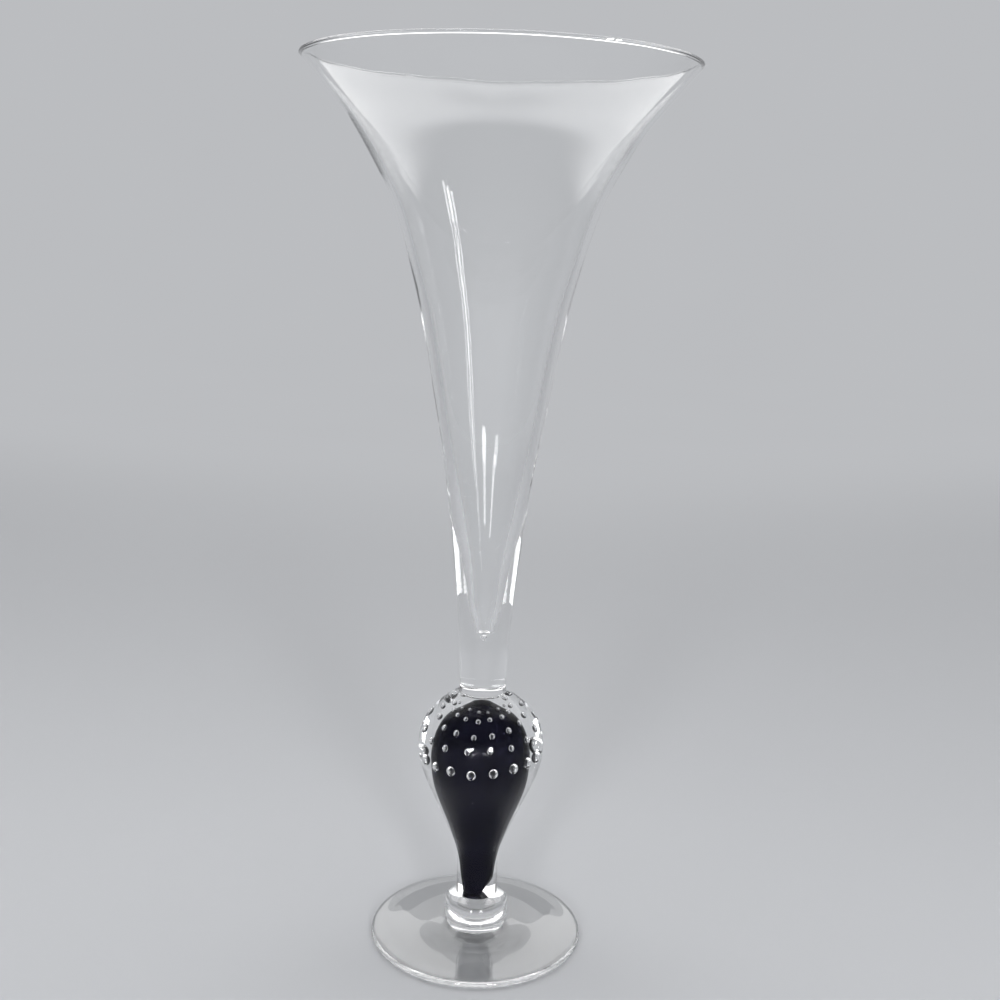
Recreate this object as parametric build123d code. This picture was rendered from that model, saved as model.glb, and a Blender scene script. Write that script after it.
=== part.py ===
from build123d import *
import os
from math import cos, radians, sin, tan

# A tall trumpet vase of clear glass. It stands upright on its foot, with the
# middle of its underside at the origin and +Z up. All lengths are millimetres.

# Foot: a thin round disc, coned towards the collar, hollowed a little beneath
foot_radius = 50.6
foot_edge_thickness = 3.0
foot_pad_height = 7.6
foot_pad_radius = 13.4
foot_land_width = 4.5
foot_hollow_depth = 1.5

# Collar: two round rings stacked between the foot and the knop
lower_ring_height = 5.4
lower_ring_radius = 15.4
waist_radius = 13.3
upper_ring_height = 8.4
upper_ring_radius = 14.9

# Knop: a pear of clear glass on a straight neck
knop_height = 101.9
knop_radius = 29.5
knop_neck_radius = 9.8

# Black core inside the knop
core_radius = 15.1
core_neck_radius = 5.3
core_top_cover = 12.0
core_tip_cover = 0.6
core_slant_width = 3.7
core_slant_height = 9.0

# Rows of air bubbles round the shoulder of the knop, from the widest row up
bubble_columns = 13
bubble_radius = 1.9
bubble_turn_degrees = -11.5
bubble_lean_degrees = 3.0

# Trumpet bowl, drawn out below into a solid stem
trumpet_height = 282.7
rim_radius = 85.2
rim_thickness = 2.2
stem_radius = 10.8
stem_end_round = 1.2
stem_solid_height = 30.4
cavity_floor_radius = 2.8
cavity_corner_radius = 0.4
air_bell_radius = 0.9
air_bell_height_share = 1.6
air_bell_depth = 2.5

# Heights of the joints, from the floor up
waist_level = foot_pad_height + lower_ring_height
knop_level = waist_level + upper_ring_height
stem_level = knop_level + knop_height
rim_level = stem_level + trumpet_height
cavity_level = stem_level + stem_solid_height
core_tip_level = knop_level + core_tip_cover
core_top_level = stem_level - core_top_cover

# The foot's top, from its edge to its pad: outward share, upward share
foot_slope_shares = [(0.72, 0.09), (0.36, 0.32), (0.12, 0.70)]

# The knop's side: share of its height, share of its swell over the neck
knop_side_shares = [
    (0.00, 0.000),
    (0.13, 0.000),
    (0.22, 0.030),
    (0.29, 0.155),
    (0.36, 0.305),
    (0.44, 0.485),
    (0.57, 0.785),
    (0.69, 0.980),
    (0.745, 1.000),
    (0.80, 0.975),
    (0.90, 0.735),
    (0.96, 0.400),
]

# The core's side: share of its height, share of its swell over its own neck,
# which is below zero where the neck narrows to the tip
core_side_shares = [
    (0.00, -0.120),
    (0.07, -0.060),
    (0.15, 0.000),
    (0.243, 0.090),
    (0.334, 0.210),
    (0.426, 0.360),
    (0.517, 0.540),
    (0.608, 0.720),
    (0.699, 0.880),
    (0.765, 0.980),
    (0.806, 1.000),
    (0.846, 0.970),
    (0.902, 0.750),
    (0.943, 0.440),
    (0.978, 0.090),
]

# The trumpet's outside: share of its height, share of its flare over the stem
trumpet_side_shares = [
    (0.00, 0.000),
    (0.12, 0.021),
    (0.25, 0.070),
    (0.38, 0.132),
    (0.50, 0.210),
    (0.62, 0.291),
    (0.72, 0.388),
    (0.80, 0.490),
    (0.86, 0.608),
    (0.91, 0.726),
    (0.955, 0.868),
]

# The cavity: share of its depth above its floor, share of its widening
cavity_side_shares = [
    (0.03, 0.015),
    (0.10, 0.043),
    (0.19, 0.091),
    (0.31, 0.165),
    (0.44, 0.237),
    (0.57, 0.313),
    (0.69, 0.419),
    (0.78, 0.518),
    (0.855, 0.650),
    (0.91, 0.769),
    (0.955, 0.891),
]

# Each bubble row: share of the knop's height, share of the widest bubble, share
# of one column's angle by which the row has slipped round, and share of the
# glass between the core and the outside at which the row lies
bubble_row_shares = [
    (0.686, 1.00, 0.00, 0.18),
    (0.783, 0.74, -0.20, 0.40),
    (0.829, 0.64, 0.00, 0.30),
    (0.872, 0.54, 0.13, 0.27),
    (0.908, 0.36, 0.10, 0.36),
]
bubble_height_share = 1.12

# How steeply a shoulder or a ring's side runs in to its joint, rise over reach
joint_slope_share = 0.35


def revolved(outline):
    """Turn a closed outline in the XZ plane once round the Z axis."""
    face = make_face(outline)
    return revolve(face, axis=Axis.Z)


def at(radius, level):
    """The point of an outline at a radius and a height."""
    return (radius, 0, level)


def side_points(shares, low, height, base, swell):
    """Place an outline's shares between two heights and two radii."""
    return [at(base + swell * out, low + height * up) for up, out in shares]


def ring_solid(low, height, foot_width, belly, top_width):
    """One round collar ring, flat where it meets the glass above and below."""
    high = low + height
    side = Spline(
        at(foot_width, low),
        at(belly, (low + high) / 2),
        at(top_width, high),
        tangents=[(1, 0, joint_slope_share), (0, 0, 1), (-1, 0, joint_slope_share)],
    )
    outline = Polyline(at(top_width, high), at(0, high), at(0, low), at(foot_width, low))
    return revolved(side + outline)


def foot_disc():
    """The foot, resting on a flat land round its underside."""
    half_edge = foot_edge_thickness / 2
    shoulder = foot_radius - half_edge
    land = foot_radius - half_edge - foot_land_width
    run = shoulder - foot_pad_radius
    rise = foot_pad_height - foot_edge_thickness
    slope = [
        at(foot_pad_radius + run * out, foot_edge_thickness + rise * up)
        for out, up in foot_slope_shares
    ]
    edge = ThreePointArc(
        at(shoulder, 0), at(foot_radius, half_edge), at(shoulder, foot_edge_thickness)
    )
    top = Spline(
        [at(shoulder, foot_edge_thickness), *slope, at(foot_pad_radius, foot_pad_height)],
        tangents=[(-1, 0, 0), (-1, 0, 1)],
    )
    middle = Polyline(
        at(foot_pad_radius, foot_pad_height),
        at(0, foot_pad_height),
        at(0, foot_hollow_depth),
    )
    hollow = Spline(
        at(0, foot_hollow_depth),
        at(land, 0),
        tangents=[(1, 0, 0), (run, 0, -foot_hollow_depth)],
    )
    rest = Line(at(land, 0), at(shoulder, 0))
    return revolved(edge + top + middle + hollow + rest)


def knop_points():
    """The points of the knop's side, from its neck to its shoulder."""
    swell = knop_radius - knop_neck_radius
    return side_points(knop_side_shares, knop_level, knop_height, knop_neck_radius, swell)


def core_points():
    """The points of the core's side, from its neck to its shoulder."""
    height = core_top_level - core_tip_level
    swell = core_radius - core_neck_radius
    return side_points(core_side_shares, core_tip_level, height, core_neck_radius, swell)


def knop_solid():
    """The whole pear of the knop, before its core and bubbles are taken out."""
    side = Spline(
        [*knop_points(), at(stem_radius, stem_level)],
        tangents=[(0, 0, 1), (-1, 0, joint_slope_share)],
    )
    middle = Polyline(
        at(stem_radius, stem_level),
        at(0, stem_level),
        at(0, knop_level),
        at(knop_neck_radius, knop_level),
    )
    return revolved(side + middle)


def black_core():
    """The black pear inside the knop, its flat tip slanted off on one side."""
    low = core_tip_level
    points = core_points()
    side = Spline([*points, at(0, core_top_level)], tangents=[(0, 0, 1), (-1, 0, 0)])
    middle = Polyline(at(0, core_top_level), at(0, low), points[0])
    pear = revolved(side + middle)
    start = core_neck_radius - core_slant_width
    beyond = core_neck_radius + core_slant_width
    under = low - core_slant_height
    slant = Polyline(
        at(start, low),
        at(beyond, low + 2 * core_slant_height),
        at(beyond, under),
        at(start, under),
        close=True,
    )
    wedge = extrude(make_face(slant), amount=core_radius, dir=(0, 1, 0), both=True)
    return pear - wedge


def bubble(radius, height_share, place):
    """One air bubble, a little taller than it is wide."""
    tall = radius * height_share
    half = Spline(
        at(0, tall), at(radius, 0), at(0, -tall), tangents=[(1, 0, 0), (0, 0, -1), (-1, 0, 0)]
    )
    drop = revolved(half + Line(at(0, -tall), at(0, tall)))
    return drop.moved(Location(place))


def radius_at(level, stations):
    """An outline's radius at a height, read between its points."""
    for (radius, _, low), (next_radius, _, high) in zip(stations, stations[1:]):
        if low <= level <= high:
            return radius + (next_radius - radius) * (level - low) / (high - low)
    return 0


def bubbles():
    """All the rows of air bubbles round the knop's shoulder."""
    pitch = 360 / bubble_columns
    rise = tan(radians(bubble_lean_degrees))
    core_side = [*core_points(), at(0, core_top_level)]
    knop_side = [*knop_points(), at(stem_radius, stem_level)]
    drops = []
    for up, size, slip, depth in bubble_row_shares:
        level = knop_level + knop_height * up
        inner = radius_at(level, core_side)
        out = inner + (radius_at(level, knop_side) - inner) * depth
        for column in range(bubble_columns):
            angle = radians(bubble_turn_degrees - 90 + pitch * (column + slip))
            place = (out * cos(angle), out * sin(angle), level + out * cos(angle) * rise)
            drops.append(bubble(bubble_radius * size, bubble_height_share, place))
    return drops


def knop_casing(core):
    """The clear glass of the knop, round its core and its bubbles."""
    return knop_solid().cut(core, *bubbles())


def trumpet_bowl():
    """The trumpet with its rim, its cavity, its solid stem and its air bell."""
    flare = rim_radius - stem_radius
    outside = side_points(
        trumpet_side_shares,
        stem_level + stem_end_round,
        trumpet_height - stem_end_round,
        stem_radius,
        flare,
    )
    mouth_radius = rim_radius - rim_thickness
    widening = mouth_radius - cavity_floor_radius
    inside = side_points(
        cavity_side_shares,
        cavity_level,
        rim_level - cavity_level,
        cavity_floor_radius,
        widening,
    )
    lip = rim_thickness / 2
    lip_level = rim_level - lip
    outer_side = Spline(
        [*outside, at(rim_radius, lip_level)], tangents=[(0, 0, 1), (1, 0, 1)]
    )
    rim = ThreePointArc(
        at(rim_radius, lip_level), at(rim_radius - lip, rim_level), at(mouth_radius, lip_level)
    )
    inner_side = Spline(
        [at(mouth_radius, lip_level), *reversed(inside),
         at(cavity_floor_radius, cavity_level + cavity_corner_radius)],
        tangents=[(-1, 0, -1), (0, 0, -1)],
    )
    corner = TangentArc(
        at(cavity_floor_radius, cavity_level + cavity_corner_radius),
        at(cavity_floor_radius - cavity_corner_radius, cavity_level),
        tangent=(0, 0, -1),
    )
    stem_end = TangentArc(
        at(stem_radius - stem_end_round, stem_level),
        at(stem_radius, stem_level + stem_end_round),
        tangent=(1, 0, 0),
    )
    middle = Polyline(
        at(cavity_floor_radius - cavity_corner_radius, cavity_level),
        at(0, cavity_level),
        at(0, stem_level),
        at(stem_radius - stem_end_round, stem_level),
    )
    glass = revolved(outer_side + rim + inner_side + corner + middle + stem_end)
    air_bell = bubble(air_bell_radius, air_bell_height_share, at(0, cavity_level - air_bell_depth))
    return glass.cut(air_bell)


def build():
    """Every piece of the vase by name."""
    core = black_core()
    return {
        "foot_disc": foot_disc(),
        "lower_collar_ring": ring_solid(
            foot_pad_height, lower_ring_height, foot_pad_radius, lower_ring_radius, waist_radius
        ),
        "upper_collar_ring": ring_solid(
            waist_level, upper_ring_height, waist_radius, upper_ring_radius, knop_neck_radius
        ),
        "black_core": core,
        "knop_casing": knop_casing(core),
        "trumpet_bowl": trumpet_bowl(),
    }


os.makedirs("parts", exist_ok=True)
for name, piece in build().items():
    piece.label = name
    export_step(piece, f"parts/{name}.step")
    print(name, round(piece.volume))
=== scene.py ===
import logging
from dataclasses import dataclass, field
from enum import Enum
from math import cos, hypot, pi, radians, sin
from typing import Callable, Sequence

import bmesh
import bpy
import numpy as np
from mathutils import Matrix, Vector

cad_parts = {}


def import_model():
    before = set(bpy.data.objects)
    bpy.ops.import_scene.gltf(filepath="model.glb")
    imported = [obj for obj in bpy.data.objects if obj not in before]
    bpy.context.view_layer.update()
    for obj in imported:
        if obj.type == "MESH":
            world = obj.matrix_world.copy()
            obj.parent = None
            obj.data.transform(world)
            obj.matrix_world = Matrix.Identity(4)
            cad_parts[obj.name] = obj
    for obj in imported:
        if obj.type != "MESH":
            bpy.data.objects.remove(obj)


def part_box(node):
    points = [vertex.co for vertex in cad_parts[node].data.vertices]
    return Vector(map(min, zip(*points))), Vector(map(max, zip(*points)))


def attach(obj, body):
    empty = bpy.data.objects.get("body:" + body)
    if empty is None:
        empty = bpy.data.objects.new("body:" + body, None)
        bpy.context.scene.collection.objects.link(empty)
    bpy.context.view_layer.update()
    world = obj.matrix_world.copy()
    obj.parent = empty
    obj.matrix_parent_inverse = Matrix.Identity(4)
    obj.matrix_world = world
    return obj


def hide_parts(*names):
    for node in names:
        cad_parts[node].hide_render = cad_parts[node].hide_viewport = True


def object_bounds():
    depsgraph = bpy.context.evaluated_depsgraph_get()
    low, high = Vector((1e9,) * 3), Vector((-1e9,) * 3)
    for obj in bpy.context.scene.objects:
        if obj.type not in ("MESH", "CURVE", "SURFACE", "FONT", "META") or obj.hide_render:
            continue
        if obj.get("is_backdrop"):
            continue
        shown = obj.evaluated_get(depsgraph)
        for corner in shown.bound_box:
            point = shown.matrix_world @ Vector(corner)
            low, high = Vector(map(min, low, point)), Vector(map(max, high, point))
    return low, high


# A tall trumpet vase of clear glass, dressed over its solids. Every length is
# in metres, in the frame of the solids: the vase stands on its foot, +Z up.

log = logging.getLogger("vase")

Point = tuple[float, float]
Shares = Sequence[tuple[float, float]]
Colour = tuple[float, float, float]
Standing = tuple[float, float, float]

ON_AXIS = 1e-7
SHARP_DEGREES = 12
FRONT_DEGREES = -90
JOINT_SLOPE = 0.35
PALE_TONE: Colour = (0.53, 0.54, 0.56)


class Slot(Enum):
    """The record's material slots."""

    CLEAR = "clear_glass"
    BLACK = "black_glass"


class Wire:
    """A shader socket that adds Math nodes when it is used in a sum."""

    def __init__(self, graph: "Graph", socket: bpy.types.NodeSocket) -> None:
        """Hold an output socket and the graph that it belongs to."""
        self.graph = graph
        self.socket = socket

    def _math(self, operation: str, first: object, second: object) -> "Wire":
        """Join two values by one Math node."""
        return self.graph.add(
            "ShaderNodeMath", {"operation": operation}, {0: first, 1: second}
        )

    def __add__(self, other: object) -> "Wire":
        """self + other."""
        return self._math("ADD", self, other)

    def __sub__(self, other: object) -> "Wire":
        """self - other."""
        return self._math("SUBTRACT", self, other)

    def __mul__(self, other: object) -> "Wire":
        """self * other."""
        return self._math("MULTIPLY", self, other)


class Graph:
    """The node tree of one material or world."""

    def __init__(self, tree: bpy.types.NodeTree) -> None:
        """Empty the tree and keep it."""
        tree.nodes.clear()
        self.tree = tree

    def add(self, kind: str, settings: dict | None = None, inputs: dict | None = None,
            output: int | str = 0) -> Wire:
        """Add one node.

        Args:
            kind: the node's type.
            settings: its own settings, such as an operation, set first.
            inputs: values or wires by socket name or number.
            output: the output that the returned wire holds.

        Returns:
            The wire of that output.
        """
        node = self.tree.nodes.new(kind)
        for name, value in (settings or {}).items():
            if name == "stops":
                self._set_stops(node, value)
            else:
                setattr(node, name, value)
        for name, value in (inputs or {}).items():
            if isinstance(value, Wire):
                self.tree.links.new(value.socket, node.inputs[name])
            else:
                node.inputs[name].default_value = value
        if not node.outputs:
            return Wire(self, None)
        return Wire(self, node.outputs[output])

    @staticmethod
    def _set_stops(node: bpy.types.Node, stops: Sequence[tuple[float, float]]) -> None:
        """Give a ramp its grey stops: place and value."""
        ramp = node.color_ramp
        for element, (place, value) in zip(ramp.elements, stops):
            element.position = place
            element.color = (value, value, value, 1.0)

    def place(self, scale: Sequence[float] = (1.0, 1.0, 1.0)) -> Wire:
        """Object coordinates, stretched along the axes."""
        here = self.add("ShaderNodeTexCoord", output="Object")
        return self.add("ShaderNodeMapping", inputs={"Vector": here, "Scale": scale})

    def noise(self, vector: Wire, scale: float, detail: float = 2.0) -> Wire:
        """Soft noise between 0 and 1."""
        return self.add("ShaderNodeTexNoise", inputs={"Vector": vector, "Scale": scale, "Detail": detail})


def new_material(name: str) -> tuple[bpy.types.Material, Graph]:
    """A new material and its empty graph."""
    material = bpy.data.materials.new(name)
    material.use_nodes = True
    return material, Graph(material.node_tree)


@dataclass(frozen=True)
class ClearGlass:
    """Colourless hot-worked glass, faintly uneven where it was tooled.

    Attributes:
        streaks: weight of the fine lines along which drawn glass is pulled.
        smear: how rough its faint smears get.
        sheen: share of the room's mirror image that it keeps.
    """

    name: str = "clear_glass"
    tint: Colour = (0.988, 0.991, 0.992)
    ior: float = 1.5
    ripple: float = 0.06
    ripple_depth: float = 0.0004
    ripple_scale: float = 22.0
    stretch: float = 0.35
    streaks: float = 0.0
    streak_scale: float = 150.0
    streak_stretch: float = 0.03
    smear: float = 0.02
    smear_scale: float = 60.0
    smear_stops: Shares = ((0.55, 0.0), (0.9, 1.0))
    sheen: float = 1.0

    def material(self) -> bpy.types.Material:
        """Build the material.

        Returns:
            Clear refracting glass with a soft ripple and faint smears.
        """
        material, graph = new_material(self.name)
        here = graph.place((1.0, 1.0, self.stretch))
        ripple = graph.noise(here, self.ripple_scale, 1.0)
        if self.streaks:
            drawn_out = graph.place((1.0, 1.0, self.streak_stretch))
            ripple = ripple + graph.noise(drawn_out, self.streak_scale, 1.0) * self.streaks
        normal = graph.add(
            "ShaderNodeBump",
            inputs={"Strength": self.ripple, "Distance": self.ripple_depth, "Height": ripple},
        )
        smears = graph.add(
            "ShaderNodeValToRGB",
            {"stops": self.smear_stops},
            {"Fac": graph.noise(graph.place(), self.smear_scale, 4.0)},
        )
        shader = graph.add(
            "ShaderNodeBsdfPrincipled",
            inputs={
                "Base Color": (*self.tint, 1.0),
                "Transmission Weight": 1.0,
                "IOR": self.ior,
                "Specular Tint": (self.sheen, self.sheen, self.sheen, 1.0),
                "Roughness": smears * self.smear,
                "Normal": normal,
            },
        )
        graph.add("ShaderNodeOutputMaterial", inputs={"Surface": shader})
        return material


@dataclass(frozen=True)
class FusedJoint:
    """The face where two gathers melted together, which shows no edge."""

    name: str = "fused_joint"

    def material(self) -> bpy.types.Material:
        """Build the material.

        Returns:
            A clear face that light passes straight.
        """
        material, graph = new_material(self.name)
        clear = graph.add("ShaderNodeBsdfTransparent")
        graph.add("ShaderNodeOutputMaterial", inputs={"Surface": clear})
        return material


@dataclass(frozen=True)
class BlackGlass:
    """Opaque black glass, cased in clear glass, with a faint swirl."""

    name: str = "black_glass"
    deep: Colour = (0.0015, 0.0015, 0.003)
    pale: Colour = (0.004, 0.004, 0.009)
    swirl_scale: float = 45.0
    swirl_stretch: float = 0.5
    ior: float = 1.5
    shine: float = 0.02
    least_rough: float = 0.12
    most_rough: float = 0.3

    def material(self) -> bpy.types.Material:
        """Build the material.

        Returns:
            Nearly black glass whose colour and gloss drift a little.
        """
        material, graph = new_material(self.name)
        swirl = graph.noise(graph.place((1.0, 1.0, self.swirl_stretch)), self.swirl_scale, 3.0)
        colour = graph.add(
            "ShaderNodeMix",
            {"data_type": "RGBA"},
            {0: swirl, 6: (*self.deep, 1.0), 7: (*self.pale, 1.0)},
            output=2,
        )
        shader = graph.add(
            "ShaderNodeBsdfPrincipled",
            inputs={
                "Base Color": colour,
                "IOR": self.ior,
                "Specular IOR Level": self.shine,
                "Roughness": swirl * (self.most_rough - self.least_rough) + self.least_rough,
            },
        )
        graph.add("ShaderNodeOutputMaterial", inputs={"Surface": shader})
        return material


def smooth_curve(points: Sequence[Point], start: Point, end: Point, step: float) -> list[Point]:
    """Draw one smooth line through points, with set directions at its ends.

    Args:
        points: radius and height of each point.
        start: direction at the first point.
        end: direction at the last point.
        step: length between drawn points.

    Returns:
        Points along the cubic spline, both ends included.
    """
    knots = np.array(points, float)
    gaps = np.hypot(*np.diff(knots, axis=0).T)
    count = len(knots)
    matrix = np.zeros((count, count))
    wanted = np.zeros((count, 2))
    matrix[0, 0] = matrix[-1, -1] = 1.0
    wanted[0] = np.array(start) / hypot(*start)
    wanted[-1] = np.array(end) / hypot(*end)
    for i in range(1, count - 1):
        before, after = gaps[i - 1], gaps[i]
        matrix[i, i - 1: i + 2] = after, 2 * (before + after), before
        rise, next_rise = knots[i] - knots[i - 1], knots[i + 1] - knots[i]
        wanted[i] = 3 * (after * rise / before + before * next_rise / after)
    slopes = np.linalg.solve(matrix, wanted)
    drawn = []
    for i, gap in enumerate(gaps):
        for t in np.linspace(0, 1, max(3, round(gap / step)), endpoint=False):
            first = (1 + 2 * t) * (1 - t) ** 2 * knots[i] + t * (1 - t) ** 2 * gap * slopes[i]
            last = t * t * (3 - 2 * t) * knots[i + 1] - t * t * (1 - t) * gap * slopes[i + 1]
            drawn.append(tuple(first + last))
    return [*drawn, tuple(knots[-1])]


def arc(centre: Point, radius: float, start: float, end: float, count: int) -> list[Point]:
    """Draw a round arc.

    Args:
        centre: radius and height of its centre.
        radius: its own radius.
        start: the angle at its first point, in degrees.
        end: the angle at its last point, in degrees.
        count: how many points it has.

    Returns:
        The points, both ends included.
    """
    angles = np.radians(np.linspace(start, end, count))
    return [(centre[0] + radius * cos(a), centre[1] + radius * sin(a)) for a in angles]


@dataclass
class Run:
    """One stretch of a turned outline.

    Attributes:
        points: radius and height of each point.
        material: the index of its faces' material.
        wave: the share of the piece's wave that it follows.
    """

    points: list[Point]
    material: int = 0
    wave: float = 0.0


@dataclass
class Turned:
    """A closed piece turned round the Z axis from an outline.

    The outline goes from the axis round the glass and back to the axis, so
    that the glass lies on its left.

    Attributes:
        name: the mesh's name.
        runs: the outline, stretch by stretch.
        segments: how many faces go round.
        wave: how far a point is pushed outwards, by angle, radius and height.
        sag: how far a point drops, by angle and height.
    """

    name: str
    runs: list[Run]
    segments: int = 192
    wave: Callable[[float, float, float], float] | None = None
    sag: Callable[[float, float], float] | None = None

    def mesh(self) -> bpy.types.Mesh:
        """Turn the outline into a mesh.

        Returns:
            A closed mesh with smooth faces and sharp corners between runs.
        """
        rows: list[tuple[Point, float]] = []
        faces_of: list[int] = []
        corners: set[int] = set()
        for number, run in enumerate(self.runs):
            points = run.points if number == 0 else run.points[1:]
            if number:
                corners.add(len(rows) - 1)
            rows.extend((p, run.wave) for p in points)
            faces_of.extend([run.material] * (len(run.points) - 1))
        bm = bmesh.new()
        loops = [self._loop(bm, point, wave) for point, wave in rows]
        for index, (low, high) in enumerate(zip(loops, loops[1:])):
            self._band(bm, low, high, faces_of[index])
        bm.normal_update()
        self._mark_corners(bm, loops, corners)
        mesh = bpy.data.meshes.new(self.name)
        bm.to_mesh(mesh)
        bm.free()
        return mesh

    def _loop(self, bm: bmesh.types.BMesh, point: Point, wave: float) -> list[bmesh.types.BMVert]:
        """Set one ring of vertices.

        Args:
            bm: the mesh that grows.
            point: radius and height of the ring.
            wave: the share of the wave that the ring follows.

        Returns:
            The ring, or a single vertex on the axis.
        """
        radius, level = point
        if radius < ON_AXIS:
            return [bm.verts.new((0, 0, level))]
        ring = []
        for k in range(self.segments):
            angle = 2 * pi * k / self.segments
            out = radius + wave * self.wave(angle, radius, level) if self.wave else radius
            height = level - self.sag(angle, level) if self.sag else level
            ring.append(bm.verts.new((out * cos(angle), out * sin(angle), height)))
        return ring

    @staticmethod
    def _band(bm: bmesh.types.BMesh, low: list, high: list, material: int) -> None:
        """Join two rings by faces that look away from the glass.

        Args:
            bm: the mesh that grows.
            low: the ring nearer to the outline's start.
            high: the next ring.
            material: the index of the faces' material.
        """
        count = max(len(low), len(high))
        for k in range(count):
            n = (k + 1) % count
            if len(low) == 1:
                corners = (low[0], high[n], high[k])
            elif len(high) == 1:
                corners = (low[k], low[n], high[0])
            else:
                corners = (low[k], low[n], high[n], high[k])
            face = bm.faces.new(corners)
            face.material_index = material
            face.smooth = True

    @staticmethod
    def _mark_corners(bm: bmesh.types.BMesh, loops: list, corners: set[int]) -> None:
        """Mark the edges between runs as sharp where they turn by enough.

        Args:
            bm: the finished mesh.
            loops: every ring, in the outline's order.
            corners: the numbers of the rings that lie between two runs.
        """
        for index in corners:
            ring = set(loops[index])
            for vert in ring:
                for edge in vert.link_edges:
                    if edge.other_vert(vert) in ring and len(edge.link_faces) == 2:
                        if edge.calc_face_angle(0.0) > radians(SHARP_DEGREES):
                            edge.smooth = False


def place_shares(shares: Shares, low: float, height: float, base: float, swell: float) -> list[Point]:
    """Place an outline's shares in real sizes.

    Args:
        shares: share of the height and share of the swell of each point.
        low: the height at which the outline starts.
        height: how far it rises.
        base: the radius at share zero.
        swell: how much the radius grows up to share one.

    Returns:
        Radius and height of each point.
    """
    return [(base + swell * out, low + height * up) for up, out in shares]


def new_piece(name: str, mesh: bpy.types.Mesh, materials: Sequence[bpy.types.Material]) -> bpy.types.Object:
    """Make an object of a mesh and give it its materials.

    Args:
        name: the piece's name.
        mesh: its finished mesh.
        materials: one material for each index that the faces use.

    Returns:
        The object, at the origin.
    """
    mesh.materials.clear()
    for material in materials:
        mesh.materials.append(material)
    piece = bpy.data.objects.new(name, mesh)
    bpy.context.collection.objects.link(piece)
    return piece


def settle(piece: bpy.types.Object, node: str) -> None:
    """Let a piece stand for its solid, with its finish, and report it.

    Args:
        piece: the finished piece.
        node: the node whose solid it replaces.
    """
    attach(piece, "root")
    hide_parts(node)
    log.info("%s: %d faces", piece.name, len(piece.data.polygons))


@dataclass
class Finishes:
    """The materials that the pieces share.

    Attributes:
        clear: the glass of the collar, the foot and the bubbles' walls.
        cased: the glass round the core.
        drawn: the glass of the bowl.
        joint: the faces of the fused joints.
        black: the core.
    """

    clear: bpy.types.Material = field(default_factory=lambda: ClearGlass().material())
    cased: bpy.types.Material = field(
        default_factory=lambda: ClearGlass(name="cased_glass", sheen=0.2).material()
    )
    drawn: bpy.types.Material = field(
        default_factory=lambda: ClearGlass(name="drawn_glass", streaks=0.4).material()
    )
    joint: bpy.types.Material = field(default_factory=lambda: FusedJoint().material())
    black: bpy.types.Material = field(default_factory=lambda: BlackGlass().material())


GLASS, JOINT = 0, 1
MELT = 0.00002


def joint_run(radius: float, level: float, upper: bool = False) -> Run:
    """The face of a fused joint, which never lies in one plane with its partner.

    Args:
        radius: the joint's radius.
        level: its height at its edge.
        upper: whether it closes the top of its piece.

    Returns:
        A flat run outwards, or a faintly dished one inwards.
    """
    if upper:
        return Run([(radius, level), (radius / 2, level - MELT), (0, level - MELT)], JOINT)
    return Run([(0, level), (radius / 2, level), (radius, level)], JOINT)


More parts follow.
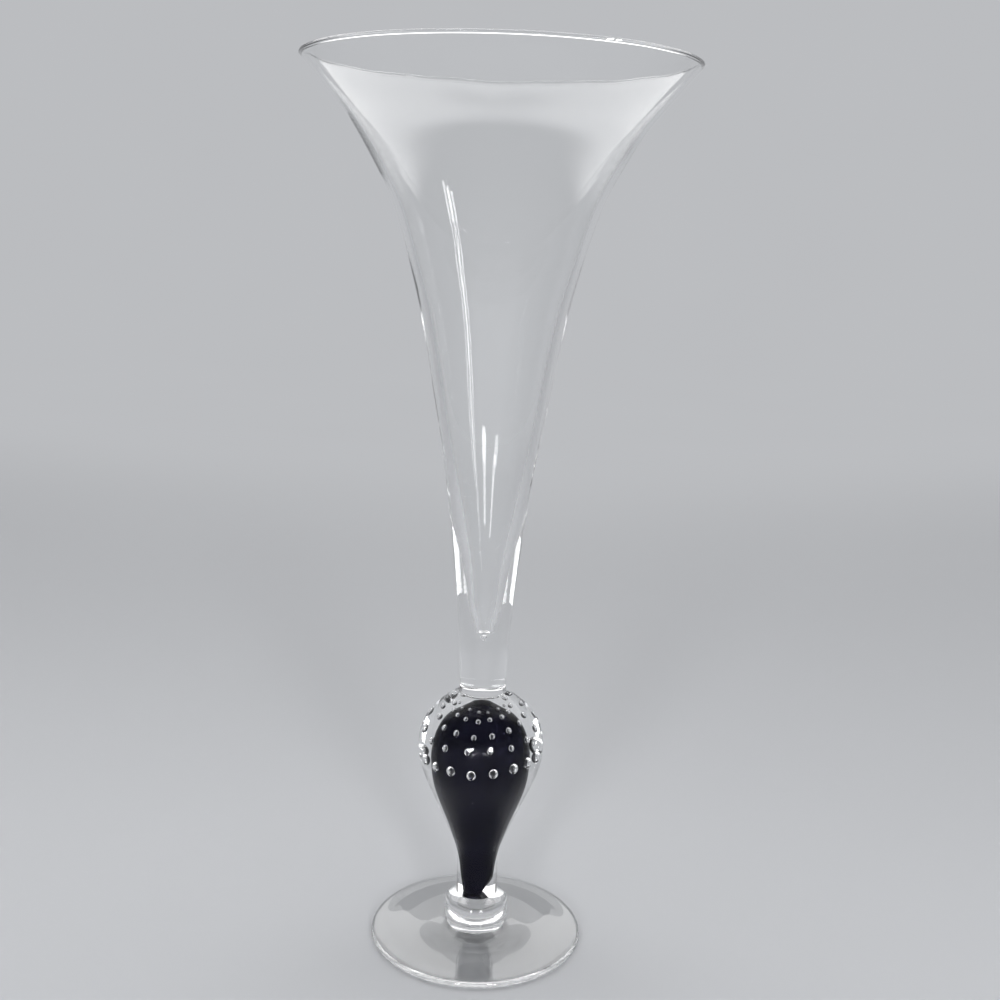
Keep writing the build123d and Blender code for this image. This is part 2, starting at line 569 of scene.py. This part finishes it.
@dataclass
class TrumpetBowl:
    """The thin trumpet with its cavity, its solid stem and its air bell."""

    rim_thickness: float = 0.0022
    stem_radius: float = 0.0108
    stem_end_round: float = 0.0012
    stem_solid_height: float = 0.0304
    floor_radius: float = 0.0028
    corner_radius: float = 0.0004
    air_bell_radius: float = 0.0009
    air_bell_height_share: float = 1.6
    air_bell_depth: float = 0.0025
    outside_wave: float = 0.3
    inside_wave: float = 1.0
    wave_depth: float = 0.00008
    wave_twist: float = 7.0
    wave_full_radius: float = 0.03
    wave_end_level: float = 0.4045
    wave_end_run: float = 0.02
    sag_depth: float = 0.0009
    sag_from: float = 0.392
    sag_run: float = 0.014
    step: float = 0.0016

    # weight, waves in one turn, share of the twist, and phase
    wave_lobes: Sequence[tuple[float, int, int, float]] = (
        (0.5, 3, 1, 0.0), (0.3, 7, -2, 0.0), (0.2, 13, 0, 1.7),
    )
    # weight, waves in one turn, and phase
    sag_lobes: Sequence[tuple[float, int, float]] = ((0.3, 9, 0.0), (0.2, 16, 0.6))

    side_shares: Shares = (
        (0.00, 0.000), (0.12, 0.021), (0.25, 0.070), (0.38, 0.132), (0.50, 0.210), (0.62, 0.291),
        (0.72, 0.388), (0.80, 0.490), (0.86, 0.608), (0.91, 0.726), (0.955, 0.868),
    )
    cavity_shares: Shares = (
        (0.03, 0.015), (0.10, 0.043), (0.19, 0.091), (0.31, 0.165), (0.44, 0.237), (0.57, 0.313),
        (0.69, 0.419), (0.78, 0.518), (0.855, 0.650), (0.91, 0.769), (0.955, 0.891),
    )

    def outline(self, low: float, high: float, rim: float) -> list[Run]:
        """The outline of the glass.

        Args:
            low: height of the stem's joint.
            high: height of the rim.
            rim: the rim's radius.

        Returns:
            The runs from the axis under the stem to the axis in the cavity.
        """
        lip = self.rim_thickness / 2
        end = self.stem_end_round
        floor = low + self.stem_solid_height
        corner = self.corner_radius
        mouth = rim - self.rim_thickness
        flat = self.stem_radius - end
        side = place_shares(self.side_shares, low + end, high - low - end, self.stem_radius,
                            rim - self.stem_radius)
        cavity = place_shares(self.cavity_shares, floor, high - floor, self.floor_radius,
                              mouth - self.floor_radius)
        stem_end = arc((flat, low + end), end, -90, 0, count=8)
        outside = smooth_curve([*side, (rim, high - lip)], (0, 1), (1, 1), self.step)
        edge = arc((rim - lip, high - lip), lip, 0, 180, count=14)
        inside = smooth_curve(
            [(mouth, high - lip), *reversed(cavity), (self.floor_radius, floor + corner)],
            (-1, -1), (0, -1), self.step,
        )
        bottom = arc((self.floor_radius - corner, floor + corner), corner, 0, -90, count=6)
        floor_run = [(self.floor_radius - corner, floor), (0, floor)]
        return [
            joint_run(flat, low), Run(stem_end), Run(outside, wave=self.outside_wave), Run(edge),
            Run(inside, wave=self.inside_wave), Run(bottom), Run(floor_run),
        ]

    def wave(self, angle: float, radius: float, level: float) -> float:
        """Find how far the blown wall wanders.

        Args:
            angle: the place round the axis, in radians.
            radius: the wall's own radius.
            level: its height.

        Returns:
            The length by which the wall is pushed outwards.
        """
        twist = level * self.wave_twist
        lobes = sum(
            weight * sin(count * angle + share * twist + phase)
            for weight, count, share, phase in self.wave_lobes
        )
        below_rim = min(1.0, max(0.0, (self.wave_end_level - level) / self.wave_end_run))
        return self.wave_depth * lobes * min(1.0, radius / self.wave_full_radius) * below_rim

    def sag(self, angle: float, level: float) -> float:
        """Find how far the rim dips, unevenly, round its back.

        Args:
            angle: the place round the axis, in radians.
            level: the height.

        Returns:
            The length by which the glass drops.
        """
        ramp = min(1.0, max(0.0, (level - self.sag_from) / self.sag_run))
        back = (1 + sin(angle)) / 2
        lobes = 1 / 2 + sum(weight * sin(count * angle + phase) for weight, count, phase in self.sag_lobes)
        return self.sag_depth * lobes * back * ramp * ramp

    def add_air_bell(self, mesh: bpy.types.Mesh, level: float) -> None:
        """Set the air bell in the solid glass of the stem.

        Args:
            mesh: the bowl's mesh.
            level: the height of the air bell's middle.
        """
        bm = bmesh.new()
        bm.from_mesh(mesh)
        middle = Matrix.Translation((0, 0, level))
        tall = Matrix.Diagonal((1, 1, self.air_bell_height_share, 1))
        bell = bmesh.ops.create_icosphere(
            bm, subdivisions=3, radius=self.air_bell_radius, matrix=middle @ tall
        )
        faces = {face for vert in bell["verts"] for face in vert.link_faces}
        bmesh.ops.reverse_faces(bm, faces=list(faces))
        for face in faces:
            face.smooth = True
        bm.to_mesh(mesh)
        bm.free()

    def build(self, finishes: Finishes) -> bpy.types.Object:
        """Make the bowl and let it stand for its solid.

        Args:
            finishes: the shared materials.

        Returns:
            The bowl, for the lamps that light it alone.
        """
        low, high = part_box("trumpet_bowl")
        rim = (high[0] - low[0]) / 2
        outline = self.outline(low[2], high[2], rim)
        mesh = Turned("trumpet_bowl_glass", outline, wave=self.wave, sag=self.sag).mesh()
        self.add_air_bell(mesh, low[2] + self.stem_solid_height - self.air_bell_depth)
        piece = new_piece("trumpet_bowl_glass", mesh, (finishes.drawn, finishes.joint))
        settle(piece, "trumpet_bowl")
        return piece


@dataclass
class Knop:
    """The pear of clear glass with its black core and its air bubbles."""

    neck_radius: float = 0.0098
    seat_radius: float = 0.0108
    joint_radius: float = 0.0096
    core_neck_radius: float = 0.0053
    core_tip_cover: float = 0.0006
    core_slant_width: float = 0.0037
    core_slant_height: float = 0.009
    core_segments: int = 128
    wetting: float = 0.00006
    columns: int = 13
    bubble_radius: float = 0.0019
    bubble_turn: float = -11.5
    bubble_lean: float = 3.0
    bubble_height_share: float = 1.12
    bubble_drift: tuple[float, float, float] = (0.0004, 0.0004, 0.0005)
    least_bubble: float = 0.88
    most_bubble: float = 1.08
    step: float = 0.0012

    side_shares: Shares = (
        (0.00, 0.000), (0.13, 0.000), (0.22, 0.030), (0.29, 0.155), (0.36, 0.305), (0.44, 0.485),
        (0.57, 0.785), (0.69, 0.980), (0.745, 1.000), (0.80, 0.975), (0.90, 0.735), (0.96, 0.400),
    )
    core_shares: Shares = (
        (0.00, -0.120), (0.07, -0.060), (0.15, 0.000), (0.243, 0.090), (0.334, 0.210), (0.426, 0.360),
        (0.517, 0.540), (0.608, 0.720), (0.699, 0.880), (0.765, 0.980), (0.806, 1.000), (0.846, 0.970),
        (0.902, 0.750), (0.943, 0.440), (0.978, 0.090),
    )
    # share of the height, share of the widest bubble, share of one column's
    # angle, and share of the glass between the core and the outside
    row_shares: Sequence[tuple[float, float, float, float]] = (
        (0.686, 1.00, 0.00, 0.18), (0.783, 0.74, -0.20, 0.40), (0.829, 0.64, 0.00, 0.30),
        (0.872, 0.54, 0.13, 0.27), (0.908, 0.36, 0.10, 0.36),
    )

    def core_points(self, low: float, high: float, widest: float) -> list[Point]:
        """Draw the core's outline.

        Args:
            low: height of its tip.
            high: height of its top.
            widest: its greatest radius.

        Returns:
            The points from the tip to the top.
        """
        shares = place_shares(self.core_shares, low, high - low, self.core_neck_radius,
                              widest - self.core_neck_radius)
        return smooth_curve([*shares, (0, high)], (0, 1), (-1, 0), self.step)

    def side_points(self, low: float, high: float, widest: float) -> list[Point]:
        """Draw the casing's outline.

        Args:
            low: height of its neck's joint.
            high: height of the stem's seat.
            widest: its greatest radius.

        Returns:
            The points from the neck to the seat.
        """
        side = place_shares(self.side_shares, low, high - low, self.neck_radius, widest - self.neck_radius)
        return smooth_curve([*side, (self.seat_radius, high)], (0, 1), (-1, JOINT_SLOPE), self.step)

    @staticmethod
    def radius_at(points: list[Point], level: float) -> float:
        """An outline's radius at a height."""
        return float(np.interp(level, [p[1] for p in points], [p[0] for p in points]))

    def core_mesh(self, name: str, points: list[Point], low: float, sink: float) -> bpy.types.Mesh:
        """The core's mesh, its tip cut off flat and slanted on one side.

        Args:
            name: the mesh's name.
            points: its outline from the tip to the top.
            low: height of the tip's lowest point.
            sink: how far inside the true surface it lies.

        Returns:
            The closed mesh.
        """
        body = [(max(0.0, r - sink), z - sink * (r < ON_AXIS)) for r, z in points]
        edge = body[0] = (body[0][0], low + sink)
        runs = [Run([(0, edge[1]), (edge[0] / 2, edge[1]), edge]), Run(body)]
        mesh = Turned(name, runs, segments=self.core_segments).mesh()
        bm = bmesh.new()
        bm.from_mesh(mesh)
        normal = Vector((self.core_slant_height, 0, -self.core_slant_width)).normalized()
        start = Vector((self.core_neck_radius - self.core_slant_width, 0, low))
        cut = bmesh.ops.bisect_plane(
            bm, geom=[*bm.verts, *bm.edges, *bm.faces], dist=ON_AXIS,
            plane_co=start - normal * sink,
            plane_no=normal, clear_outer=True,
        )
        edges = [item for item in cut["geom_cut"] if isinstance(item, bmesh.types.BMEdge)]
        bmesh.ops.holes_fill(bm, edges=edges, sides=0)
        bm.normal_update()
        for edge in edges:
            edge.smooth = False
        bm.to_mesh(mesh)
        bm.free()
        return mesh

    def shell_mesh(self, low: float, high: float, widest: float) -> bpy.types.Mesh:
        """Turn the outside of the knop.

        Args:
            low: height of its neck's joint.
            high: height of the stem's seat.
            widest: its greatest radius.

        Returns:
            The closed mesh, with its joints at the top and bottom.
        """
        runs = [
            joint_run(self.neck_radius, low),
            Run(self.side_points(low, high, widest)),
            Run([(self.seat_radius, high), (self.joint_radius, high)]),
            joint_run(self.joint_radius, high, upper=True),
        ]
        return Turned("knop_casing_glass", runs).mesh()

    def bubble_tree(self, glass: bpy.types.Material) -> bpy.types.NodeTree:
        """Build the node tree that sets one row of air bubbles in a casing.

        Args:
            glass: the material of a bubble's wall.

        Returns:
            The geometry node group.
        """
        tree = bpy.data.node_groups.new("bubble_row", "GeometryNodeTree")
        tree.is_modifier = True
        face = tree.interface
        face.new_socket("Casing", in_out="INPUT", socket_type="NodeSocketGeometry")
        for name in ("Ring Radius", "Level", "Turn", "Lean", "Bubble Radius", "Height Share"):
            face.new_socket(name, in_out="INPUT", socket_type="NodeSocketFloat")
        for name in ("Columns", "Seed"):
            face.new_socket(name, in_out="INPUT", socket_type="NodeSocketInt")
        face.new_socket("Casing", in_out="OUTPUT", socket_type="NodeSocketGeometry")
        nodes, links = tree.nodes, tree.links

        def node(kind: str, inputs: dict | None = None, **settings: object) -> bpy.types.Node:
            """Add a node, with its settings and its values or links."""
            made = nodes.new(kind)
            for key, value in settings.items():
                setattr(made, key, value)
            for key, value in (inputs or {}).items():
                if isinstance(value, bpy.types.NodeSocket):
                    links.new(value, made.inputs[key])
                else:
                    made.inputs[key].default_value = value
            return made

        given = node("NodeGroupInput").outputs
        drift = Vector(self.bubble_drift)
        ring = node("GeometryNodeMeshCircle",
                    {"Vertices": given["Columns"], "Radius": given["Ring Radius"]})
        lift = node("ShaderNodeCombineXYZ", {"Z": given["Level"]})
        turn = node("ShaderNodeCombineXYZ", {"Z": given["Turn"]})
        lean = node("ShaderNodeCombineXYZ", {"Y": given["Lean"]})
        turned = node("GeometryNodeTransform",
                      {"Geometry": ring.outputs["Mesh"], "Rotation": turn.outputs[0]})
        row = node("GeometryNodeTransform",
                   {"Geometry": turned.outputs[0], "Translation": lift.outputs[0],
                    "Rotation": lean.outputs[0]})
        stray = node("FunctionNodeRandomValue", {0: -drift, 1: drift, "Seed": given["Seed"]},
                     data_type="FLOAT_VECTOR")
        loose = node("GeometryNodeSetPosition", {"Geometry": row.outputs[0], "Offset": stray.outputs[0]})
        ball = node("GeometryNodeMeshUVSphere",
                    {"Segments": 20, "Rings": 12, "Radius": given["Bubble Radius"]})
        tall = node("ShaderNodeCombineXYZ", {"X": 1.0, "Y": 1.0, "Z": given["Height Share"]})
        drop = node("GeometryNodeTransform", {"Geometry": ball.outputs["Mesh"], "Scale": tall.outputs[0]})
        void = node("GeometryNodeFlipFaces", {"Mesh": drop.outputs[0]})
        size = node("FunctionNodeRandomValue",
                    {2: self.least_bubble, 3: self.most_bubble, "Seed": given["Seed"]},
                    data_type="FLOAT")
        drops = node("GeometryNodeInstanceOnPoints",
                     {"Points": loose.outputs[0], "Instance": void.outputs[0], "Scale": size.outputs[1]})
        real = node("GeometryNodeRealizeInstances", {"Geometry": drops.outputs[0]})
        smooth = node("GeometryNodeSetShadeSmooth", {"Geometry": real.outputs[0]})
        dressed = node("GeometryNodeSetMaterial", {"Geometry": smooth.outputs[0], "Material": glass})
        both = node("GeometryNodeJoinGeometry")
        links.new(dressed.outputs[0], both.inputs[0])
        links.new(given["Casing"], both.inputs[0])
        node("NodeGroupOutput", {"Casing": both.outputs[0]})
        return tree

    def add_bubbles(self, casing: bpy.types.Object, side: list[Point], core: list[Point],
                    glass: bpy.types.Material) -> None:
        """Set the rows of air bubbles in the casing's glass.

        Args:
            casing: the knop's casing.
            side: the casing's outline.
            core: the core's outline.
            glass: the material of a bubble's wall.
        """
        low, height = side[0][1], side[-1][1] - side[0][1]
        tree = self.bubble_tree(glass)
        sockets = {item.name: item.identifier for item in tree.interface.items_tree
                   if item.in_out == "INPUT"}
        pitch = 360 / self.columns
        for number, (up, size, slip, depth) in enumerate(self.row_shares):
            level = low + height * up
            inner, outer = self.radius_at(core, level), self.radius_at(side, level)
            row = casing.modifiers.new(f"row_{number}", "NODES")
            row.node_group = tree
            row[sockets["Ring Radius"]] = inner + (outer - inner) * depth
            row[sockets["Level"]] = level
            row[sockets["Turn"]] = radians(self.bubble_turn + FRONT_DEGREES + pitch * slip)
            row[sockets["Lean"]] = -radians(self.bubble_lean)
            row[sockets["Bubble Radius"]] = self.bubble_radius * size
            row[sockets["Height Share"]] = self.bubble_height_share
            row[sockets["Columns"]] = self.columns
            row[sockets["Seed"]] = number
        view = bpy.context.evaluated_depsgraph_get()
        mesh = bpy.data.meshes.new_from_object(casing.evaluated_get(view))
        casing.modifiers.clear()
        casing.data = mesh

    @staticmethod
    def line_hollow(mesh: bpy.types.Mesh, bed: bpy.types.Mesh) -> None:
        """Give the casing the hollow in which the core lies.

        Args:
            mesh: the casing's outside.
            bed: the hollow's form, which is used up.
        """
        bm = bmesh.new()
        bm.from_mesh(mesh)
        outside = set(bm.faces)
        bm.from_mesh(bed)
        inner = [face for face in bm.faces if face not in outside]
        bmesh.ops.reverse_faces(bm, faces=inner)
        for face in inner:
            face.material_index = JOINT
        bm.to_mesh(mesh)
        bm.free()
        bpy.data.meshes.remove(bed)

    def build(self, finishes: Finishes) -> bpy.types.Object:
        """Make the casing and the core and let them stand for their solids.

        Args:
            finishes: the shared materials.

        Returns:
            The casing, for the lamps that light it alone.
        """
        low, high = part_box("knop_casing")
        widest = (high[0] - low[0]) / 2
        core_low, core_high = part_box("black_core")
        core_widest = (core_high[0] - core_low[0]) / 2
        tip = low[2] + self.core_tip_cover
        points = self.core_points(tip, core_high[2], core_widest)
        core = new_piece("black_core_glass", self.core_mesh("black_core_glass", points, tip, 0.0),
                         (finishes.black,))
        settle(core, "black_core")
        mesh = self.shell_mesh(low[2], high[2], widest)
        self.line_hollow(mesh, self.core_mesh("core_bed", points, tip, self.wetting))
        casing = new_piece("knop_casing_glass", mesh, (finishes.cased, finishes.joint))
        self.add_bubbles(casing, self.side_points(low[2], high[2], widest), points, finishes.clear)
        settle(casing, "knop_casing")
        return casing


@dataclass
class CollarRing:
    """One round ring of the collar.

    Attributes:
        node: the node whose solid it stands for.
        foot_radius: its radius where it stands.
        top_radius: its radius where it carries the glass above.
        step: the length between the outline's points.
    """

    node: str
    foot_radius: float
    top_radius: float
    step: float = 0.0005

    def build(self, finishes: Finishes) -> None:
        """Make the ring and let it stand for its solid.

        Args:
            finishes: the shared materials.
        """
        low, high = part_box(self.node)
        belly = (high[0] - low[0]) / 2
        side = smooth_curve(
            [(self.foot_radius, low[2]), (belly, (low[2] + high[2]) / 2), (self.top_radius, high[2])],
            (1, JOINT_SLOPE), (-1, JOINT_SLOPE), self.step,
        )
        runs = [
            joint_run(self.foot_radius, low[2]),
            Run(side),
            joint_run(self.top_radius, high[2], upper=True),
        ]
        mesh = Turned(f"{self.node}_glass", runs).mesh()
        piece = new_piece(f"{self.node}_glass", mesh, (finishes.clear, finishes.joint))
        settle(piece, self.node)


@dataclass
class Foot:
    """The thin round foot, coned towards the collar and hollowed beneath."""

    edge_thickness: float = 0.003
    pad_radius: float = 0.0134
    land_width: float = 0.0045
    hollow_depth: float = 0.0015
    step: float = 0.001
    slope_shares: Shares = ((0.72, 0.09), (0.36, 0.32), (0.12, 0.70))

    def build(self, finishes: Finishes) -> None:
        """Make the foot and let it stand for its solid.

        Args:
            finishes: the shared materials.
        """
        low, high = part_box("foot_disc")
        radius = (high[0] - low[0]) / 2
        pad = high[2]
        half = self.edge_thickness / 2
        shoulder = radius - half
        land = shoulder - self.land_width
        run = shoulder - self.pad_radius
        rise = pad - self.edge_thickness
        slope = [(self.pad_radius + run * out, self.edge_thickness + rise * up)
                 for out, up in self.slope_shares]
        hollow = smooth_curve(
            [(0, self.hollow_depth), (land, 0)], (1, 0), (run, -self.hollow_depth), self.step
        )
        top = smooth_curve(
            [(shoulder, self.edge_thickness), *slope, (self.pad_radius, pad)], (-1, 0), (-1, 1), self.step
        )
        runs = [
            Run(hollow),
            Run([(land, 0), (shoulder, 0)]),
            Run(arc((shoulder, half), half, -90, 90, count=16)),
            Run(top),
            joint_run(self.pad_radius, pad, upper=True),
        ]
        mesh = Turned("foot_disc_glass", runs).mesh()
        piece = new_piece("foot_disc_glass", mesh, (finishes.clear, finishes.joint))
        settle(piece, "foot_disc")


@dataclass
class Sweep:
    """The pale floor, which curves up into a low wall all round."""

    tone: Colour = PALE_TONE
    reach: float = 3.0
    bend: float = 0.7
    top: float = 1.6
    inner: float = 0.3
    segments: int = 128
    gap: float = 0.0003
    pale_level: float = 0.95
    pale_from: float = 0.2
    pale_to: float = 1.3
    pale_spread: float = 0.35
    grain_scale: float = 3.0
    grain_depth: float = 0.02

    def material(self) -> bpy.types.Material:
        """Build the floor's material.

        Returns:
            A matt floor with a soft grain, which far from the vase shows its own
            pale tone to the rays that are seen.
        """
        material, graph = new_material("pale_sweep")
        grain = graph.noise(graph.place(), self.grain_scale, 2.0)
        darker = tuple((1 - self.grain_depth) * part for part in self.tone)
        colour = graph.add(
            "ShaderNodeMix", {"data_type": "RGBA"}, {0: grain, 6: (*darker, 1.0), 7: (*self.tone, 1.0)},
            output=2,
        )
        lit = graph.add("ShaderNodeBsdfPrincipled",
                        inputs={"Base Color": colour, "Roughness": 0.9, "Specular IOR Level": 0.1})
        pale = graph.add("ShaderNodeEmission", inputs={"Color": colour, "Strength": self.pale_level})
        seen = self.seen_rays(graph) * self.far_off(graph)
        shader = graph.add("ShaderNodeMixShader", inputs={0: seen, 1: lit, 2: pale})
        graph.add("ShaderNodeOutputMaterial", inputs={"Surface": shader})
        material.cycles.emission_sampling = "NONE"
        return material

    def far_off(self, graph: Graph) -> Wire:
        """0 near the vase and beside it, and 1 far before and behind it."""
        here = graph.add("ShaderNodeTexCoord", output="Object")
        across, back = (
            graph.add("ShaderNodeMath", {"operation": "ABSOLUTE"},
                      {0: graph.add("ShaderNodeSeparateXYZ", inputs={0: here}, output=axis)})
            for axis in ("X", "Y")
        )
        return graph.add("ShaderNodeMapRange", {"interpolation_type": "SMOOTHERSTEP"},
                         {"Value": back - across * self.pale_spread,
                          "From Min": self.pale_from, "From Max": self.pale_to})

    @staticmethod
    def seen_rays(graph: Graph) -> Wire:
        """1 for a ray that is seen, straight or by glass, and 0 for one that lights."""
        kinds = ("Is Camera Ray", "Is Glossy Ray", "Is Transmission Ray")
        camera, glossy, through = (graph.add("ShaderNodeLightPath", output=kind) for kind in kinds)
        return graph.add("ShaderNodeMath", {"operation": "ADD", "use_clamp": True},
                         {0: camera + glossy, 1: through})

    def build(self) -> None:
        """Make the floor as a part of the stage."""
        corner = (self.reach - self.bend, self.bend - self.gap)
        runs = [
            Run([(self.reach, self.top), (self.reach, corner[1])]),
            Run(arc(corner, self.bend, 0, -90, count=24)),
            Run([(corner[0], -self.gap), (self.inner, -self.gap), (0.0, -self.gap)]),
        ]
        mesh = Turned("sweep", runs, segments=self.segments).mesh()
        new_piece("sweep", mesh, (self.material(),))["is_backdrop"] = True


@dataclass
class Lamps:
    """Two soft lamps in front, the knop's own beside them, and the bowl's tall strips.

    Where a lamp stands is its turn from the front in degrees, its distance from
    the axis and its height.
    """

    aim_level: float = 0.2
    front_stands: Sequence[Standing] = ((-18.0, 1.2, 0.35), (18.0, 1.2, 0.385))
    front_size: float = 0.20
    front_power: float = 6.0
    glint_gap: float = 0.01
    glint_power: float = 24.0
    strip_low: Standing = (45.0, 1.3, 0.07)
    strip_high: Standing = (71.0, 0.9, 1.24)
    strip_turns: tuple[float, float] = (0.0, 6.0)
    strip_width: float = 0.045
    strip_power: float = 40.0

    @staticmethod
    def stand(turn: float, reach: float, level: float) -> Vector:
        """Find a place round the vase.

        Args:
            turn: its angle from the front, in degrees.
            reach: its distance from the axis.
            level: its height.

        Returns:
            The place.
        """
        return Vector((reach * sin(radians(turn)), -reach * cos(radians(turn)), level))

    def hang(self, name: str, place: Vector, size: tuple[float, float], power: float,
             lean: Vector = Vector((0, 0, 1)), only: bpy.types.Object | None = None) -> None:
        """Hang one rectangular lamp that faces the vase.

        Args:
            name: the lamp's name.
            place: its middle.
            size: its width and height.
            power: its watts.
            lean: the direction along which its height lies.
            only: the one piece that it lights, where it doesn't light all.
        """
        data = bpy.data.lights.new(name, "AREA")
        data.shape = "RECTANGLE"
        data.size, data.size_y = size
        data.energy = power
        lamp = bpy.data.objects.new(name, data)
        back = (place - Vector((0, 0, self.aim_level))).normalized()
        across = lean.cross(back).normalized()
        turn = Matrix((across, back.cross(across), back)).transposed().to_4x4()
        lamp.matrix_world = Matrix.Translation(place) @ turn
        lamp.visible_camera = False
        bpy.context.collection.objects.link(lamp)
        if only:
            alone = bpy.data.collections.new(f"only_{name}")
            alone.objects.link(only)
            lamp.light_linking.receiver_collection = alone

    def build(self, bowl: bpy.types.Object, casing: bpy.types.Object) -> None:
        """Hang all the lamps.

        Args:
            bowl: the trumpet, which alone shows the strips.
            casing: the knop's glass, which alone shows the glints.
        """
        square = (self.front_size, self.front_size)
        for number, (turn, reach, level) in enumerate(self.front_stands):
            self.hang(f"front_{number}", self.stand(turn, reach, level), square, self.front_power)
            nearer = self.stand(turn, reach - self.glint_gap, level)
            self.hang(f"glint_{number}", nearer, square, self.glint_power, only=casing)
        for number, turn in enumerate(self.strip_turns):
            low, high = (self.stand(first + turn, reach, level)
                         for first, reach, level in (self.strip_low, self.strip_high))
            size = (self.strip_width, (high - low).length)
            self.hang(f"strip_{number}", (low + high) / 2, size, self.strip_power, high - low, bowl)


@dataclass
class Room:
    """The soft light of the room, brighter behind and above the vase."""

    tone: Colour = PALE_TONE
    glow_way: tuple[float, float, float] = (0.0, 0.707, 0.707)
    glow_from: float = 0.50
    glow_to: float = 0.74
    least_glow: float = 0.14
    most_glow: float = 2.4

    def build(self) -> None:
        """Light the room, and show it to the camera in its plain tone."""
        world = bpy.data.worlds.new("room")
        bpy.context.scene.world = world
        world.use_nodes = True
        graph = Graph(world.node_tree)
        here = graph.add("ShaderNodeTexCoord", output="Generated")
        lean = graph.add("ShaderNodeVectorMath", {"operation": "DOT_PRODUCT"},
                         {0: here, 1: self.glow_way}, output="Value")
        glow = graph.add("ShaderNodeMapRange", {"interpolation_type": "SMOOTHERSTEP"},
                         {"Value": lean, "From Min": self.glow_from, "From Max": self.glow_to,
                          "To Min": self.least_glow, "To Max": self.most_glow})
        light = graph.add("ShaderNodeBackground", inputs={"Strength": glow})
        path = graph.add("ShaderNodeLightPath", output="Is Camera Ray")
        pale = graph.add("ShaderNodeBackground", inputs={"Color": (*self.tone, 1.0)})
        seen = graph.add("ShaderNodeMixShader", inputs={0: path, 1: light, 2: pale})
        graph.add("ShaderNodeOutputWorld", inputs={"Surface": seen})


@dataclass
class Viewpoint:
    """The camera, where the photograph was taken. Its angles are in degrees."""

    eye_back_share: float = 1.3956
    eye_up_share: float = 0.8281
    pitch: float = 12.05
    roll: float = 1.88
    yaw: float = -0.53
    frame_pixels: float = 1000
    focal_pixels: float = 1274
    sensor: float = 36.0
    near: float = 0.01

    def build(self, height: float) -> None:
        """Stand the camera.

        Args:
            height: the vase's height.
        """
        pitch, roll, yaw = (radians(angle) for angle in (self.pitch, self.roll, self.yaw))
        data = bpy.data.cameras.new("camera")
        data.sensor_width = self.sensor
        data.lens = self.sensor * self.focal_pixels / self.frame_pixels
        data.clip_start = self.near
        eye = Vector((0, -self.eye_back_share * height, self.eye_up_share * height))
        ahead = Vector((sin(-yaw) * cos(pitch), cos(yaw) * cos(pitch), -sin(pitch)))
        right = ahead.cross(Vector((0, 0, 1))).normalized()
        up = right.cross(ahead)
        leaned_up = cos(roll) * up - sin(roll) * right
        leaned_right = cos(roll) * right + sin(roll) * up
        turn = Matrix((leaned_right, leaned_up, -ahead)).transposed().to_4x4()
        camera = bpy.data.objects.new("camera", data)
        camera.matrix_world = Matrix.Translation(eye) @ turn
        bpy.context.collection.objects.link(camera)
        bpy.context.scene.camera = camera


@dataclass
class Studio:
    """The plain studio round the vase, and how many times its light may bounce."""

    sweep: Sweep = field(default_factory=Sweep)
    lamps: Lamps = field(default_factory=Lamps)
    room: Room = field(default_factory=Room)
    viewpoint: Viewpoint = field(default_factory=Viewpoint)
    bounces: int = 32

    def build(self, height: float, bowl: bpy.types.Object, casing: bpy.types.Object) -> None:
        """Set the whole studio round the vase.

        Args:
            height: the vase's height.
            bowl: the trumpet.
            casing: the knop's glass.
        """
        self.sweep.build()
        self.lamps.build(bowl, casing)
        self.room.build()
        self.viewpoint.build(height)
        scene = bpy.context.scene
        scene.view_settings.view_transform = "Standard"
        cycles = scene.cycles
        cycles.max_bounces = cycles.glossy_bounces = cycles.transmission_bounces = self.bounces
        cycles.transparent_max_bounces = self.bounces


def main() -> None:
    """Dress the vase, piece by piece, and light it."""
    logging.basicConfig(level=logging.INFO, format="%(message)s")
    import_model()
    solid_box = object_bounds()
    finishes = Finishes()
    bowl = TrumpetBowl().build(finishes)
    casing = Knop().build(finishes)
    CollarRing("upper_collar_ring", 0.0133, 0.0098).build(finishes)
    CollarRing("lower_collar_ring", 0.0134, 0.0133).build(finishes)
    Foot().build(finishes)
    Studio().build(solid_box[1][2], bowl, casing)


if __name__ == "__main__":
    main()
